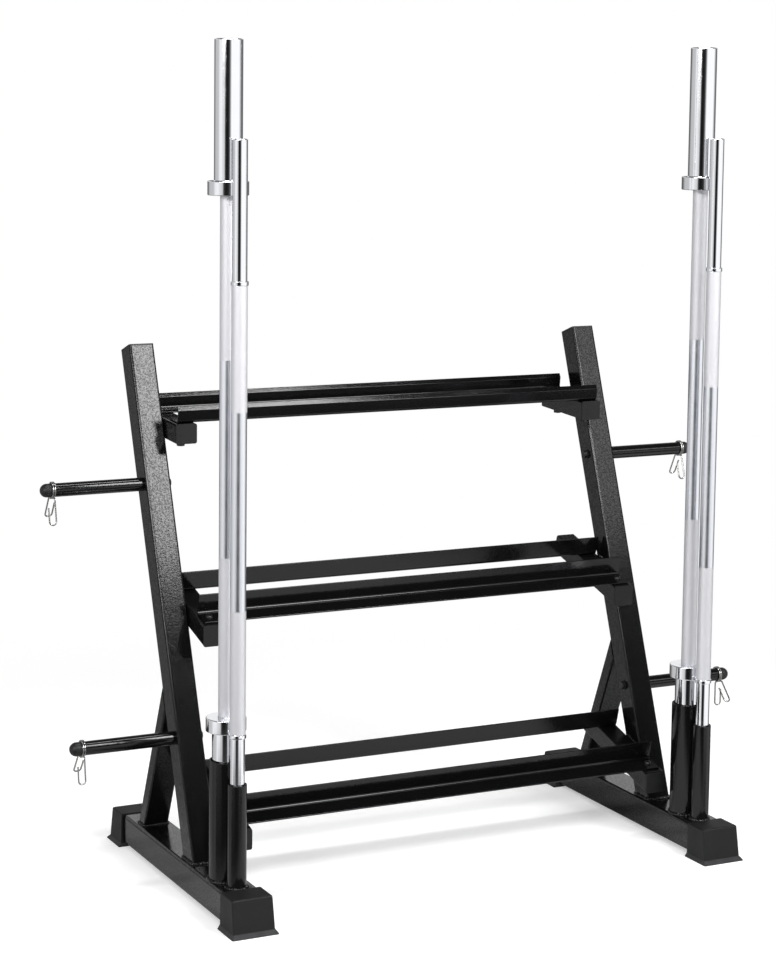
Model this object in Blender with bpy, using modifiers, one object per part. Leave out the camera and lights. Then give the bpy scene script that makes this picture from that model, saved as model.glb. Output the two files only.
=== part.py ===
import math

import bmesh
import bpy
from mathutils import Matrix, Vector

# Sizes in metres. X runs across the rack, -Y is the user's side, Z is up, Z = 0 is the floor.
GAP = 0.0003

# Uprights: square tube leaning back.
POST_X = 0.488
POST = 0.050
POST_WALL = 0.0025
POST_RADIUS = 0.005
POST_LEAN = math.radians(20.0)
POST_FRONT_Y = -0.112
POST_TOP_Z = 0.983
# reach of a cutting block that has to pass right through
ROOM = POST_TOP_Z
CAP_PLATE = 0.003
CAP_EDGE = 0.0008
CAP_PLUG = 0.014

# Base beams and the boots on their ends.
BEAM_WIDTH = 0.070
BEAM_HEIGHT = 0.056
BEAM_BOTTOM = 0.008
BEAM_TOP = BEAM_BOTTOM + BEAM_HEIGHT
BEAM_WALL = 0.0025
BEAM_RADIUS = 0.006
BEAM_HALF = 0.298
BOOT_WIDTH = 0.078
BOOT_FOOT_WIDTH = 0.080
BOOT_TOP = BEAM_TOP + 0.002
BOOT_END_WALL = 0.0035
BOOT_END_ROOM = 0.0015
BOOT_COVER = 0.0477
BOOT_FOOT_OUT = 0.0095
BOOT_MOUTH = BEAM_HALF - BOOT_COVER
BOOT_END = BEAM_HALF + BOOT_END_ROOM + BOOT_END_WALL
BOOT_FOOT_END = BOOT_END + BOOT_FOOT_OUT
BOOT_EDGE = 0.0025
SKIRT_HEIGHT = 0.0085
SKIRT_OUT = 0.0047
SKIRT_END_OUT = 0.0085
SKIRT_EDGE = 0.0010

# Rear braces.
BRACE_DEPTH = 0.028
BRACE_WALL = 0.002
BRACE_RADIUS = 0.004
BRACE_LEAN = math.radians(22.9)
BRACE_FOOT_Y = 0.165

# Shelf arms: one pair for each shelf, welded to the inner faces of the uprights.
ARM_WIDTH = 0.042
ARM_HEIGHT = 0.038
ARM_WALL = 0.002
ARM_RADIUS = 0.004
ARM_X = POST_X - POST / 2 - GAP - ARM_WIDTH / 2
ARM_PLUG = 0.012
# front_y and front_z are the arm's front top edge
ARMS = {
    "top": {"front_y": 0.1289, "front_z": 0.8414, "slope": math.radians(2.7), "length": 0.163},
    "middle": {"front_y": -0.0114, "front_z": 0.4858, "slope": math.radians(15.5), "length": 0.240},
    "bottom": {"front_y": -0.1443, "front_z": 0.1371, "slope": math.radians(15.5), "length": 0.240},
}

# Shelf rails: folded angles bolted on top of the arms.
RAIL_END_ROOM = 0.006
RAIL_HALF = POST_X - POST / 2 - RAIL_END_ROOM
RAIL_THICK = 0.003
RAIL_STAND = 0.0395
RAIL_FLAT = 0.0425
RAIL_BEND = 0.004
LIP_CREASE = 0.0243
LIP_RISE = 0.0078
LIP_BACK = 0.0050
LIP_LEAN = 0.0015
# inset: from the arm's end to the front of the standing flange; foot: where the lying flange points
RAILS = {
    "top_front": {"shelf": "top", "end": "front", "inset": 0.0057, "foot": "back", "lipped": True},
    "top_rear": {"shelf": "top", "end": "rear", "inset": 0.0099, "foot": "front", "lipped": True},
    "middle_front": {"shelf": "middle", "end": "front", "inset": 0.0477, "foot": "front", "lipped": False},
    "middle_rear": {"shelf": "middle", "end": "rear", "inset": 0.0992, "foot": "back", "lipped": False},
    "bottom_front": {"shelf": "bottom", "end": "front", "inset": 0.0526, "foot": "front", "lipped": False},
    "bottom_rear": {"shelf": "bottom", "end": "rear", "inset": 0.0578, "foot": "back", "lipped": False},
}
# from the standing flange's outer face to the bolts
RAIL_BOLT = 0.0228
BOLT_RADIUS = 0.004
BOLT_HOLE_RADIUS = BOLT_RADIUS + GAP
BOLT_HEAD_RADIUS = 0.0070
BOLT_HEAD = 0.0042
NUT_RADIUS = 0.0075
NUT_HEIGHT = 0.0065
BOLT_TAIL = 0.0035

# Plate pegs through the uprights.
PEG_HEIGHTS = {"upper": 0.724, "lower": 0.275}
PEG_RADIUS = 0.0128
PEG_BORE = 0.0106
PEG_TIP = 0.713
PEG_CAP = 0.024
PEG_CAP_PLUG = 0.015
PEG_ROOT = 0.012
PEG_BOLT_RADIUS = 0.005
PEG_HOLE_RADIUS = PEG_BOLT_RADIUS + GAP
PEG_WASHER_RADIUS = 0.0100
PEG_WASHER = 0.0016
PEG_HEAD_RADIUS = 0.0080
PEG_HEAD = 0.0055

# Spring clips on the pegs: a two-turn coil with a hairpin handle at each end.
CLIP_X = 0.689
CLIP_WIRE = 0.0015
CLIP_RADIUS = PEG_RADIUS + CLIP_WIRE + 0.0005
CLIP_PITCH = 0.0035
CLIP_SPREAD = 22.0
CLIP_TURNS = 2
CLIP_STEP = 24.0
CLIP_HANDLE = 0.050
CLIP_RETURN = 0.026
CLIP_HAIRPIN = 0.0066
CLIP_SHOULDER = 0.0040
# how far each clip has turned on its peg, positive towards the back
CLIP_TURN = {
    "upper_left": 10.0,
    "lower_left": 14.0,
    "upper_right": 5.0,
    "lower_right": -22.0,
}

# Bar holders: tubes with a floor, welded on the base beams.
HOLDER_FLOOR = 0.090
HOLDER_RIM = 0.0006
# name: (y, outer radius, bore radius, top z)
HOLDERS = {
    "large": (-0.1795, 0.0300, 0.0275, 0.283),
    "small": (-0.2320, 0.01725, 0.01425, 0.252),
}

# Wide-sleeve bars.
BAR_BASE = HOLDER_FLOOR + GAP
WIDE_LENGTH = 1.465
WIDE_SLEEVE_RADIUS = 0.0250
WIDE_COLLAR_RADIUS = 0.03625
WIDE_COLLAR = 0.025
WIDE_SLEEVE = 0.245
WIDE_END_CHAMFER = 0.0025
WIDE_END_WALL = 0.012
WIDE_SHAFT_RADIUS = 0.0140

# Narrow one-piece bars.
THIN_LENGTH = 1.294
THIN_END_RADIUS = 0.01325
THIN_RING_RADIUS = 0.0156
THIN_RING = 0.0070
THIN_END = 0.2445
THIN_CHAMFER = 0.0020
THIN_SHAFT_RADIUS = 0.0140

SIDES = {"left": -1, "right": 1}


def clear_scene():
    for ob in list(bpy.data.objects):
        bpy.data.objects.remove(ob, do_unlink=True)


def new_material(name, colour, metallic, roughness):
    mat = bpy.data.materials.new(name)
    mat.use_nodes = True
    shader = mat.node_tree.nodes["Principled BSDF"]
    shader.inputs["Base Color"].default_value = (*colour, 1.0)
    shader.inputs["Metallic"].default_value = metallic
    shader.inputs["Roughness"].default_value = roughness
    return mat


def axes(x, y, z, origin):
    """Matrix whose columns are the three directions and the origin."""
    rows = [[x[i], y[i], z[i], origin[i]] for i in range(3)]
    return Matrix(rows + [[0, 0, 0, 1]])


def rounded(points, radii, steps=2):
    """Outline with an arc in place of each corner that has a radius."""
    out = []
    count = len(points)
    for i, point in enumerate(points):
        here = Vector(point)
        if radii[i] <= 0:
            out.append(here)
            continue
        back = (Vector(points[i - 1]) - here).normalized()
        ahead = (Vector(points[(i + 1) % count]) - here).normalized()
        half = back.angle(ahead) / 2
        centre = here + (back + ahead).normalized() * (radii[i] / math.sin(half))
        start = here + back * (radii[i] / math.tan(half)) - centre
        end = here + ahead * (radii[i] / math.tan(half)) - centre
        sweep = start.angle_signed(end)
        for k in range(steps + 1):
            turned = start.copy()
            turned.rotate(Matrix.Rotation(-sweep * k / steps, 2))
            out.append(centre + turned)
    return out


def rectangle(width, height, radius, steps=2):
    """Rounded rectangle about the origin."""
    a, b = width / 2, height / 2
    return rounded([(-a, -b), (a, -b), (a, b), (-a, b)], [radius] * 4, steps)


def to_mesh(ob):
    """Evaluated mesh of a scratch object, welded; the object is removed."""
    graph = bpy.context.evaluated_depsgraph_get()
    mesh = bpy.data.meshes.new_from_object(ob.evaluated_get(graph))
    mesh.transform(ob.matrix_world)
    bpy.data.objects.remove(ob, do_unlink=True)
    work = bmesh.new()
    work.from_mesh(mesh)
    bmesh.ops.remove_doubles(work, verts=work.verts, dist=0.000001)
    bmesh.ops.recalc_face_normals(work, faces=work.faces)
    work.to_mesh(mesh)
    work.free()
    return mesh


def scratch(data):
    """Object that only lives while a piece is being made."""
    ob = bpy.data.objects.new("scratch", data)
    bpy.context.scene.collection.objects.link(ob)
    return ob


def extrusion(outlines, start, end, matrix=None):
    """Flat outlines (a second one is a hole) pushed along Z from start to end."""
    curve = bpy.data.curves.new("outline", "CURVE")
    curve.dimensions = "2D"
    curve.fill_mode = "BOTH"
    curve.extrude = (end - start) / 2
    for outline in outlines:
        spline = curve.splines.new("POLY")
        spline.points.add(len(outline) - 1)
        for point, place in zip(spline.points, outline):
            point.co = (place[0], place[1], 0.0, 1.0)
        spline.use_cyclic_u = True
    ob = scratch(curve)
    ob.matrix_world = (matrix or Matrix()) @ Matrix.Translation((0, 0, (start + end) / 2))
    bpy.context.view_layer.update()
    return to_mesh(ob)


def turned(profile, steps, matrix=None):
    """Profile of (radius, height) running down the outside, turned about Z."""
    mesh = bpy.data.meshes.new("profile")
    verts = [(r, 0.0, z) for r, z in profile]
    mesh.from_pydata(verts, [(i, i + 1) for i in range(len(verts) - 1)], [])
    ob = scratch(mesh)
    screw = ob.modifiers.new("turn", "SCREW")
    screw.axis = "Z"
    screw.angle = math.tau
    screw.steps = steps
    screw.render_steps = steps
    screw.use_merge_vertices = True
    screw.merge_threshold = 0.00001
    ob.matrix_world = matrix or Matrix()
    bpy.context.view_layer.update()
    return to_mesh(ob)


def box(low, high, matrix=None):
    """Cube primitive stretched between two corners."""
    mesh = bpy.data.meshes.new("box")
    work = bmesh.new()
    bmesh.ops.create_cube(work, size=1.0)
    low, high = Vector(low), Vector(high)
    place = Matrix.Translation((low + high) / 2) @ Matrix.Diagonal((*(high - low), 1.0))
    bmesh.ops.transform(work, matrix=(matrix or Matrix()) @ place, verts=work.verts)
    work.to_mesh(mesh)
    work.free()
    return mesh


def rod(bottom_radius, top_radius, low, high, segments, matrix=None):
    """Cylinder or cone primitive along Z between two heights."""
    mesh = bpy.data.meshes.new("rod")
    work = bmesh.new()
    bmesh.ops.create_cone(work, cap_ends=True, segments=segments, radius1=bottom_radius,
                          radius2=top_radius, depth=high - low)
    place = (matrix or Matrix()) @ Matrix.Translation((0, 0, (low + high) / 2))
    bmesh.ops.transform(work, matrix=place, verts=work.verts)
    work.to_mesh(mesh)
    work.free()
    return mesh


def boolean(mesh, tools, operation):
    """Exact Boolean of a mesh with each tool in turn."""
    ob = scratch(mesh)
    cutters = []
    for tool in tools:
        cutter = scratch(tool)
        cutters.append(cutter)
        step = ob.modifiers.new("cut", "BOOLEAN")
        step.operation = operation
        step.solver = "EXACT"
        step.object = cutter
    bpy.context.view_layer.update()
    out = to_mesh(ob)
    for cutter in cutters:
        bpy.data.objects.remove(cutter, do_unlink=True)
    return out


def softened(mesh, width, segments=1, angle=40.0):
    """Bevel on the sharp edges."""
    ob = scratch(mesh)
    bevel = ob.modifiers.new("edges", "BEVEL")
    bevel.width = width
    bevel.segments = segments
    bevel.limit_method = "ANGLE"
    bevel.angle_limit = math.radians(angle)
    bpy.context.view_layer.update()
    return to_mesh(ob)


def place(name, mesh, material, matrix=None):
    """Finished piece in the rack's collection; copies of a piece share its mesh."""
    if not mesh.materials:
        mesh.materials.append(material)
        mesh.shade_smooth()
        mesh.set_sharp_from_angle(angle=math.radians(35))
    ob = bpy.data.objects.new(name, mesh)
    ob.matrix_world = matrix or Matrix()
    rack.objects.link(ob)
    return ob


def post_frame():
    """Upright's own frame: Z up the tube's axis, Y square to its back face."""
    up = Vector((0, math.sin(POST_LEAN), math.cos(POST_LEAN)))
    back = Vector((0, math.cos(POST_LEAN), -math.sin(POST_LEAN)))
    return axes((1, 0, 0), back, up, Vector((0, POST_FRONT_Y, 0)) + back * (POST / 2))


def arm_frame(shelf):
    """Arm's own frame: Y square to its top face, Z back along it."""
    arm = ARMS[shelf]
    along = Vector((0, math.cos(arm["slope"]), math.sin(arm["slope"])))
    normal = Vector((0, -along.z, along.y))
    return axes((-1, 0, 0), normal, along, (0, arm["front_y"], arm["front_z"]))


def peg_place(height):
    """Point on the upright's axis at a height above the floor."""
    frame = post_frame()
    up = frame.col[2]
    along = (height - frame.translation.z) / up.z
    return frame.translation + Vector(up[:3]) * along


def build_beams():
    outer = rectangle(BEAM_WIDTH, BEAM_HEIGHT, BEAM_RADIUS)
    inner = rectangle(BEAM_WIDTH - 2 * BEAM_WALL, BEAM_HEIGHT - 2 * BEAM_WALL,
                      BEAM_RADIUS - BEAM_WALL)
    frame = axes((1, 0, 0), (0, 0, 1), (0, -1, 0), (0, 0, BEAM_BOTTOM + BEAM_HEIGHT / 2))
    mesh = extrusion([outer, inner], -BEAM_HALF, BEAM_HALF, frame)
    for side, sign in SIDES.items():
        place("base_beam_" + side, mesh, PAINT, Matrix.Translation((sign * POST_X, 0, 0)))


def tapered(bottom, top, low_z, high_z):
    """Cube primitive whose bottom and top rectangles differ; each is (half width, y start, y end)."""
    mesh = bpy.data.meshes.new("block")
    work = bmesh.new()
    bmesh.ops.create_cube(work, size=2.0)
    for vert in work.verts:
        half, start, end = top if vert.co.z > 0 else bottom
        vert.co.x *= half
        vert.co.y = end if vert.co.y > 0 else start
        vert.co.z = high_z if vert.co.z > 0 else low_z
    work.to_mesh(mesh)
    work.free()
    return mesh


def build_boots():
    half, foot_half = BOOT_WIDTH / 2, BOOT_FOOT_WIDTH / 2
    body = tapered((foot_half, BOOT_MOUTH, BOOT_FOOT_END), (half, BOOT_MOUTH, BOOT_END),
                   SKIRT_HEIGHT / 2, BOOT_TOP)
    body = softened(body, BOOT_EDGE, 2)
    skirt = tapered((foot_half + SKIRT_OUT, BOOT_MOUTH, BOOT_FOOT_END + SKIRT_END_OUT),
                    (foot_half, BOOT_MOUTH, BOOT_FOOT_END), 0.0, SKIRT_HEIGHT)
    skirt = softened(skirt, SKIRT_EDGE)
    mesh = boolean(body, [skirt], "UNION")
    bore = rectangle(BEAM_WIDTH + 2 * GAP, BEAM_HEIGHT + 2 * GAP, BEAM_RADIUS + GAP)
    frame = axes((-1, 0, 0), (0, 0, 1), (0, 1, 0), (0, 0, BEAM_BOTTOM + BEAM_HEIGHT / 2))
    mesh = boolean(mesh, [extrusion([bore], BOOT_MOUTH / 2, BOOT_END - BOOT_END_WALL, frame)],
                   "DIFFERENCE")
    for side, sign in SIDES.items():
        shift = Matrix.Translation((sign * POST_X, 0, 0))
        place("boot_rear_" + side, mesh, BOOT, shift)
        place("boot_front_" + side, mesh, BOOT, shift @ Matrix.Rotation(math.pi, 4, "Z"))


def build_uprights():
    frame = post_frame()
    top = POST_TOP_Z / math.cos(POST_LEAN)
    outer = rectangle(POST, POST, POST_RADIUS)
    inner = rectangle(POST - 2 * POST_WALL, POST - 2 * POST_WALL, POST_RADIUS - POST_WALL)
    mesh = extrusion([outer, inner], 0.0, top - CAP_PLATE - GAP, frame)
    foot = box((-ROOM, -ROOM, -ROOM), (ROOM, ROOM, BEAM_TOP + GAP))
    holes = [rod(PEG_HOLE_RADIUS, PEG_HOLE_RADIUS, -POST, POST, 12,
                 axes((0, 1, 0), (0, 0, 1), (1, 0, 0), peg_place(height)))
             for height in PEG_HEIGHTS.values()]
    mesh = boolean(mesh, [foot] + holes, "DIFFERENCE")
    plate = softened(extrusion([outer], top - CAP_PLATE, top, frame), CAP_EDGE)
    room = POST - 2 * POST_WALL - 2 * GAP
    plug = extrusion([rectangle(room, room, POST_RADIUS - POST_WALL, 1)],
                     top - CAP_PLATE - CAP_PLUG, top - CAP_PLATE / 2, frame)
    cap = boolean(plate, [plug], "UNION")
    for side, sign in SIDES.items():
        shift = Matrix.Translation((sign * POST_X, 0, 0))
        place("upright_" + side, mesh, PAINT, shift)
        place("upright_cap_" + side, cap, PLASTIC, shift)


def build_braces():
    up = Vector((0, -math.sin(BRACE_LEAN), math.cos(BRACE_LEAN)))
    back = Vector((0, math.cos(BRACE_LEAN), math.sin(BRACE_LEAN)))
    origin = Vector((0, BRACE_FOOT_Y, BEAM_TOP)) + back * (BRACE_DEPTH / 2)
    frame = axes((1, 0, 0), back, up, origin)
    outer = rectangle(POST, BRACE_DEPTH, BRACE_RADIUS)
    inner = rectangle(POST - 2 * BRACE_WALL, BRACE_DEPTH - 2 * BRACE_WALL,
                      BRACE_RADIUS - BRACE_WALL)
    mesh = extrusion([outer, inner], -POST, POST_TOP_Z / 2, frame)
    foot = box((-ROOM, -ROOM, -ROOM), (ROOM, ROOM, BEAM_TOP + GAP))
    post = box((-ROOM, -ROOM, -ROOM), (ROOM, POST / 2 + GAP, 2 * ROOM), post_frame())
    mesh = boolean(mesh, [foot, post], "DIFFERENCE")
    for side, sign in SIDES.items():
        place("rear_brace_" + side, mesh, PAINT, Matrix.Translation((sign * POST_X, 0, 0)))


def build_holders():
    rim = HOLDER_RIM
    for size, (y, outer, bore, top) in HOLDERS.items():
        facets = 24 if size == "large" else 18
        mesh = turned([(0, HOLDER_FLOOR), (bore, HOLDER_FLOOR), (bore, top - rim), (bore + rim, top),
                       (outer - rim, top), (outer, top - rim), (outer, BEAM_TOP + GAP),
                       (0, BEAM_TOP + GAP)], facets)
        half_facet = Matrix.Rotation(math.pi / facets, 4, "Z")
        for side, sign in SIDES.items():
            place("bar_holder_" + size + "_" + side, mesh, PAINT,
                  Matrix.Translation((sign * POST_X, y, 0)) @ half_facet)


def rail_place(rail):
    """Outer and inner face of the standing flange and the bolts' place, along the arm."""
    face = rail["inset"]
    if rail["end"] == "rear":
        face = ARMS[rail["shelf"]]["length"] - face
    if rail["foot"] == "back":
        return face, face + RAIL_THICK, face + RAIL_BOLT
    return face + RAIL_THICK, face, face + RAIL_THICK - RAIL_BOLT


def bolt_places(shelf):
    return [rail_place(rail)[2] for rail in RAILS.values() if rail["shelf"] == shelf]


def build_arms():
    for shelf, arm in ARMS.items():
        front_y, length = arm["front_y"], arm["length"]
        frame = arm_frame(shelf)
        middle = Matrix.Translation((0, -ARM_HEIGHT / 2, 0))
        outer = rectangle(ARM_WIDTH, ARM_HEIGHT, ARM_RADIUS)
        bore_width = ARM_WIDTH - 2 * ARM_WALL
        bore_height = ARM_HEIGHT - 2 * ARM_WALL
        inner = rectangle(bore_width, bore_height, ARM_RADIUS - ARM_WALL)
        plug = rectangle(bore_width - 2 * GAP, bore_height - 2 * GAP, ARM_RADIUS - ARM_WALL, 1)
        end = length - CAP_PLATE
        tube = extrusion([outer, inner], -ARM_HEIGHT, end - GAP, frame @ middle)
        ahead = box((-ROOM, front_y - ROOM, 0.0), (ROOM, front_y + CAP_PLATE + GAP, 2 * ROOM))
        flip = Matrix.Rotation(math.radians(90), 4, "X")
        holes = [rod(BOLT_HOLE_RADIUS, BOLT_HOLE_RADIUS, -ARM_HEIGHT / 2, 2 * ARM_HEIGHT, 8,
                     frame @ Matrix.Translation((0, 0, at)) @ flip) for at in bolt_places(shelf)]
        tube = boolean(tube, [ahead] + holes, "DIFFERENCE")
        tall = ARM_HEIGHT / math.cos(arm["slope"])
        plumb = axes((-1, 0, 0), (0, 0, 1), (0, 1, 0), (0, front_y, arm["front_z"] - tall / 2))
        plate = extrusion([rectangle(ARM_WIDTH, tall, ARM_RADIUS)], 0, CAP_PLATE, plumb)
        plate = softened(plate, CAP_EDGE)
        front_plug = extrusion([plug], -ARM_HEIGHT, ARM_PLUG, frame @ middle)
        ahead = box((-ROOM, front_y - ROOM, 0.0), (ROOM, front_y + CAP_PLATE / 2, 2 * ROOM))
        front_plug = boolean(front_plug, [ahead], "DIFFERENCE")
        front_cap = boolean(plate, [front_plug], "UNION")
        plate = softened(extrusion([outer], end, length, frame @ middle), CAP_EDGE)
        rear_plug = extrusion([plug], end - ARM_PLUG, length - CAP_PLATE / 2, frame @ middle)
        rear_cap = boolean(plate, [rear_plug], "UNION")
        for side, sign in SIDES.items():
            shift = Matrix.Translation((sign * ARM_X, 0, 0))
            place("arm_" + shelf + "_" + side, tube, PAINT, shift)
            place("arm_cap_front_" + shelf + "_" + side, front_cap, PLASTIC, shift)
            place("arm_cap_rear_" + shelf + "_" + side, rear_cap, PLASTIC, shift)


def rail_outline(rail):
    """Section of a rail as (along the arm, above the arm) points."""
    low = GAP
    near, far, bolt = rail_place(rail)
    tip = near + RAIL_FLAT if far > near else near - RAIL_FLAT
    bend = [RAIL_BEND, 0, 0, RAIL_BEND - RAIL_THICK]
    if not rail["lipped"]:
        top = low + RAIL_STAND
        corners = [(near, low), (tip, low), (tip, low + RAIL_THICK), (far, low + RAIL_THICK),
                   (far, top), (near, top)]
        return rounded(corners, bend + [0, 0])
    crease = low + LIP_CREASE
    slant = Vector((LIP_BACK, LIP_RISE)).normalized()
    across = Vector((slant.y, -slant.x)) * RAIL_THICK
    lean = -LIP_LEAN
    front, back = (near, far) if near < far else (far, near)
    tip_front = Vector((front + lean + LIP_BACK, crease + LIP_RISE))
    tip_back = tip_front + across
    crease_back = crease - RAIL_THICK * 0.30
    upper = [(back + lean, crease_back), tuple(tip_back), tuple(tip_front), (front + lean, crease)]
    if far < near:
        upper.reverse()
    corners = [(near, low), (tip, low), (tip, low + RAIL_THICK), (far, low + RAIL_THICK)] + upper
    return rounded(corners, bend + [0, 0, 0, 0])


def build_rails():
    for name, rail_sizes in RAILS.items():
        outline = rail_outline(rail_sizes)
        bolt = rail_place(rail_sizes)[2]
        frame = arm_frame(rail_sizes["shelf"])
        section = axes(frame.col[2][:3], frame.col[1][:3], (1, 0, 0), frame.translation)
        rail = extrusion([outline], -RAIL_HALF, RAIL_HALF, section)
        low = GAP + RAIL_THICK
        tools = []
        for sign in SIDES.values():
            spot = Matrix.Translation((sign * ARM_X, 0, 0)) @ frame @ Matrix.Translation((0, 0, bolt))
            head = [(0, low + BOLT_HEAD), (BOLT_HEAD_RADIUS * 0.62, low + BOLT_HEAD),
                    (BOLT_HEAD_RADIUS, low + BOLT_HEAD * 0.35),
                    (BOLT_HEAD_RADIUS, low - RAIL_THICK / 3), (BOLT_RADIUS, low - RAIL_THICK / 3),
                    (BOLT_RADIUS, -ARM_HEIGHT - GAP - NUT_HEIGHT - BOLT_TAIL),
                    (0, -ARM_HEIGHT - GAP - NUT_HEIGHT - BOLT_TAIL)]
            upright = spot @ Matrix.Rotation(math.radians(-90), 4, "X")
            tools.append(turned(head, 8, upright))
            nut_top = -ARM_HEIGHT - GAP
            tools.append(rod(NUT_RADIUS, NUT_RADIUS, nut_top - NUT_HEIGHT, nut_top, 6, upright))
        mesh = boolean(rail, tools, "UNION")
        place("rail_" + name, mesh, PAINT)


def build_pegs():
    face = POST / 2 + GAP
    root = face + PEG_ROOT
    end = PEG_TIP - POST_X - PEG_CAP - GAP
    head = -face - PEG_WASHER
    peg = turned([(0, root), (PEG_BORE, root), (PEG_BORE, end), (PEG_RADIUS, end),
                  (PEG_RADIUS, face), (PEG_BOLT_RADIUS, face), (PEG_BOLT_RADIUS, -face),
                  (PEG_WASHER_RADIUS, -face), (PEG_WASHER_RADIUS, head), (PEG_HEAD_RADIUS, head),
                  (PEG_HEAD_RADIUS, head - PEG_HEAD * 0.6), (PEG_HEAD_RADIUS * 0.7, head - PEG_HEAD),
                  (0, head - PEG_HEAD)], 16)
    tip = PEG_TIP - POST_X
    start = tip - PEG_CAP
    dome = [(PEG_RADIUS * math.sin(math.radians(a)), tip - PEG_RADIUS * (1 - math.cos(math.radians(a))))
            for a in (0, 28, 52, 72, 90)]
    plug = PEG_BORE - GAP
    cap = turned(dome + [(PEG_RADIUS, start), (plug, start), (plug, start - PEG_CAP_PLUG),
                         (0, start - PEG_CAP_PLUG)], 16)
    for level, height in PEG_HEIGHTS.items():
        at = peg_place(height)
        for side, sign in SIDES.items():
            out = axes((0, sign, 0), (0, 0, 1), (sign, 0, 0), (sign * POST_X, at.y, at.z))
            place("plate_peg_" + level + "_" + side, peg, PAINT, out)
            place("plate_peg_cap_" + level + "_" + side, cap, PLASTIC, out)


def clip_path():
    """Centre line of a clip's wire: handle, coil, handle; X is the peg's axis and -Z is down."""
    half = CLIP_SPREAD
    turn = 360.0 * CLIP_TURNS + 2 * half
    axial = CLIP_PITCH * turn / 360.0
    ease = math.degrees(math.atan2(CLIP_SHOULDER, CLIP_RADIUS))

    def polar(angle, radius):
        a = math.radians(angle)
        return Vector((0, radius * math.sin(a), -radius * math.cos(a)))

    def handle(angle, way, shift):
        """Free end first: up the return leg's tip, round the hairpin and in to the coil."""
        out = polar(angle, 1.0)
        side = polar(angle + 90.0 * way, 1.0)
        across = Vector((shift, 0, 0)).normalized()
        leg = Vector((shift, 0, 0))
        far = CLIP_RADIUS + CLIP_HANDLE - CLIP_HAIRPIN
        turn_at = leg - across * CLIP_HAIRPIN + out * far
        points = [turn_at - across * CLIP_HAIRPIN - out * CLIP_RETURN]
        for k in range(6):
            a = math.radians(36 * k)
            points.append(turn_at - across * (CLIP_HAIRPIN * math.cos(a)) + out * (CLIP_HAIRPIN * math.sin(a)))
        for k in range(3):
            a = math.radians(45 * k)
            points.append(leg + out * (CLIP_RADIUS + CLIP_SHOULDER * (1 - math.sin(a)))
                          + side * (CLIP_SHOULDER * (1 - math.cos(a))))
        return points

    first = handle(half, -1, -axial / 2)
    last = handle(-half, 1, axial / 2)
    coil = []
    angle = half - ease - CLIP_STEP
    finish = half - turn + ease
    while angle > finish + CLIP_STEP / 2:
        done = (half - angle) / turn
        point = polar(angle, CLIP_RADIUS)
        point.x = axial * (done - 0.5)
        coil.append(point)
        angle -= CLIP_STEP
    return first + coil + last[::-1]


def build_clips():
    curve = bpy.data.curves.new("clip", "CURVE")
    curve.dimensions = "3D"
    curve.bevel_depth = CLIP_WIRE
    curve.bevel_resolution = 2
    curve.use_fill_caps = True
    path = clip_path()
    spline = curve.splines.new("POLY")
    spline.points.add(len(path) - 1)
    for point, at in zip(spline.points, path):
        point.co = (*at, 1.0)
    mesh = to_mesh(scratch(curve))
    for level, height in PEG_HEIGHTS.items():
        at = peg_place(height)
        for side, sign in SIDES.items():
            name = level + "_" + side
            turn = Matrix.Rotation(math.radians(CLIP_TURN[name]), 4, "X")
            if sign > 0:
                turn = turn @ Matrix.Rotation(math.pi, 4, "Z")
            spot = Matrix.Translation((sign * CLIP_X, at.y, at.z))
            place("spring_clip_" + name, mesh, CHROME, spot @ turn)


def build_wide_bars():
    foot, top = BAR_BASE, BAR_BASE + WIDE_LENGTH
    bore = WIDE_SHAFT_RADIUS + GAP
    chamfer = WIDE_END_CHAMFER
    inner = WIDE_SLEEVE + WIDE_COLLAR
    closed = WIDE_END_WALL
    sleeve = turned([(0, 0), (WIDE_SLEEVE_RADIUS - chamfer, 0), (WIDE_SLEEVE_RADIUS, -chamfer),
                     (WIDE_SLEEVE_RADIUS, -WIDE_SLEEVE), (WIDE_COLLAR_RADIUS, -WIDE_SLEEVE),
                     (WIDE_COLLAR_RADIUS, -inner), (bore, -inner), (bore, -closed), (0, -closed)], 24)
    half = WIDE_LENGTH / 2 - closed - GAP
    shaft = turned([(0, half), (WIDE_SHAFT_RADIUS, half), (WIDE_SHAFT_RADIUS, -half), (0, -half)], 20)
    over = Matrix.Rotation(math.pi, 4, "X")
    y = HOLDERS["large"][0]
    for side, sign in SIDES.items():
        x = sign * POST_X
        place("wide_bar_shaft_" + side, shaft, CHROME, Matrix.Translation((x, y, (foot + top) / 2)))
        place("wide_bar_sleeve_upper_" + side, sleeve, CHROME, Matrix.Translation((x, y, top)))
        place("wide_bar_sleeve_lower_" + side, sleeve, CHROME, Matrix.Translation((x, y, foot)) @ over)


def build_thin_bars():
    half = THIN_LENGTH / 2
    ring = half - THIN_END
    upper = [(0, half), (THIN_END_RADIUS - THIN_CHAMFER, half), (THIN_END_RADIUS, half - THIN_CHAMFER),
             (THIN_END_RADIUS, ring), (THIN_RING_RADIUS, ring), (THIN_RING_RADIUS, ring - THIN_RING),
             (THIN_SHAFT_RADIUS, ring - THIN_RING)]
    lower = [(r, -z) for r, z in reversed(upper)]
    mesh = turned(upper + lower, 16)
    y = HOLDERS["small"][0]
    for side, sign in SIDES.items():
        place("thin_bar_" + side, mesh, CHROME,
              Matrix.Translation((sign * POST_X, y, BAR_BASE + half)))


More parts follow.
